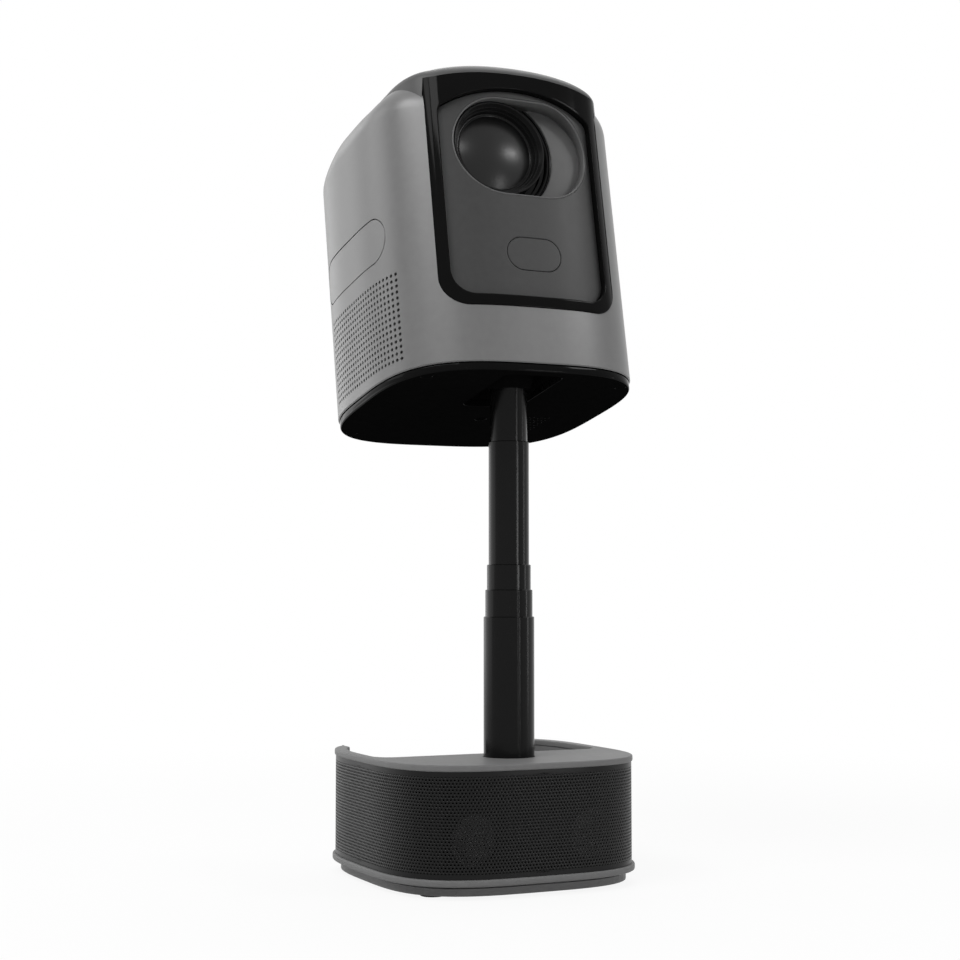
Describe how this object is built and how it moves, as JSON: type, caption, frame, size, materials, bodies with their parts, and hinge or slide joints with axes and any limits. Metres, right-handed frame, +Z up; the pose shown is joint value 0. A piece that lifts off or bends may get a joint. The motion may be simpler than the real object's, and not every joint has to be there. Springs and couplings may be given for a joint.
{
  "type": "video projector",
  "caption": "Small video projector: a round-cornered tilting head with a recessed lens, on a telescopic mast that stands on a U-shaped speaker base.",
  "frame": {"origin": "on the floor, in the plane of the foot pads, under the middle of the whole object's box at rest", "axes": "+Z up along the mast, -Y towards the front where the lens looks, +X to the right seen from the rear"},
  "size_m": [0.153, 0.1835, 0.4592],
  "materials": {
    "shell_grey": "satin",
    "trim_grey": "satin",
    "gloss_black": "gloss",
    "satin_black": "satin",
    "panel_grey": "satin",
    "mast_black": "satin",
    "grille_black": "matte",
    "rubber": "matte",
    "steel": "brushed",
    "iron": "matte",
    "aluminium": "satin",
    "brass": "satin",
    "glass": "gloss",
    "clear": "gloss",
    "mirror": "gloss",
    "board_green": "satin",
    "white": "matte",
    "paper": "matte"
  },
  "bodies": {
    "base": {"base_pan": "trim_grey", "base_flange": "trim_grey", "base_body": "satin_black", "base_grille": "grille_black", "base_deck": "trim_grey", "base_feet": "rubber", "base_screws": "steel", "speaker_frames": "satin_black", "speaker_cones": "paper", "speaker_magnets": "iron", "counterweight": "iron", "amplifier_board": "board_green", "mast_socket": "satin_black", "mast_tube_1": "mast_black"},
    "mast_2": {"mast_tube_2": "mast_black"},
    "mast_3": {"mast_tube_3": "mast_black"},
    "mast_4": {"mast_tube_4": "mast_black"},
    "neck": {"mast_tube_5": "mast_black", "neck_knuckle": "satin_black"},
    "focus": {"focus_barrel": "satin_black", "front_lens": "glass", "rear_lens": "glass"},
    "focus_drive": {"focus_screw": "brass"},
    "fan": {"fan_rotor": "satin_black"},
    "button": {"power_button": "satin_black"},
    "head": {"tilt_bracket": "steel", "tilt_pin": "steel", "tilt_washers": "steel", "tilt_nut": "steel", "head_shell": "shell_grey", "bottom_plate": "gloss_black", "bottom_screws": "steel", "front_bezel": "gloss_black", "fascia_panel": "panel_grey", "ir_window": "panel_grey", "side_cover": "shell_grey", "lens_well": "gloss_black", "lens_barrel": "satin_black", "focus_motor": "steel", "optics_housing": "satin_black", "fold_mirror": "mirror", "upper_fresnel": "clear", "lcd_panel": "glass", "lower_fresnel": "clear", "light_cone": "white", "led_module": "white", "heat_sink": "aluminium", "fan_frame": "satin_black", "main_board": "board_green", "io_panel": "satin_black", "hdmi_port": "steel", "usb_ports": "steel", "dc_inlet": "satin_black", "button_board": "board_green"}
  },
  "joints": [
    {"name": "mast_slide_2", "type": "slide", "parent": "base", "child": "mast_2", "axis": [0, 0, 1], "range_m": [-0.014, 0.085]},
    {"name": "mast_slide_3", "type": "slide", "parent": "mast_2", "child": "mast_3", "axis": [0, 0, 1], "range_m": [-0.013, 0.085]},
    {"name": "mast_slide_4", "type": "slide", "parent": "mast_3", "child": "mast_4", "axis": [0, 0, 1], "range_m": [-0.068, 0.025]},
    {"name": "mast_slide_5", "type": "slide", "parent": "mast_4", "child": "neck", "axis": [0, 0, 1], "range_m": [-0.028, 0.06]},
    {"name": "head_tilt", "type": "hinge", "parent": "neck", "child": "head", "pos_m": [0, -0.048, 0.2927], "axis": [-1, 0, 0], "range_deg": [-26, 14]},
    {"name": "focus_slide", "type": "slide", "parent": "head", "child": "focus", "axis": [0, -0.9813, 0.1925], "range_m": [-0.003, 0.003]},
    {"name": "focus_screw_turn", "type": "hinge", "parent": "head", "child": "focus_drive", "pos_m": [0.024, -0.04167, 0.38521], "axis": [0, -0.9813, 0.1925], "range_deg": [-600, 600]},
    {"name": "fan_spin", "type": "hinge", "parent": "head", "child": "fan", "pos_m": [-0.065, -0.02134, 0.29664], "axis": [1, 0, 0], "continuous": true},
    {"name": "power_press", "type": "slide", "parent": "head", "child": "button", "axis": [0, -0.1925, -0.9813], "range_m": [0, 0.001], "stiffness_N_per_m": 900}
  ],
  "couplings": [
    {"joint": "focus_screw_turn", "follows": "focus_slide", "rad_per_m": 3141.6}
  ]
}
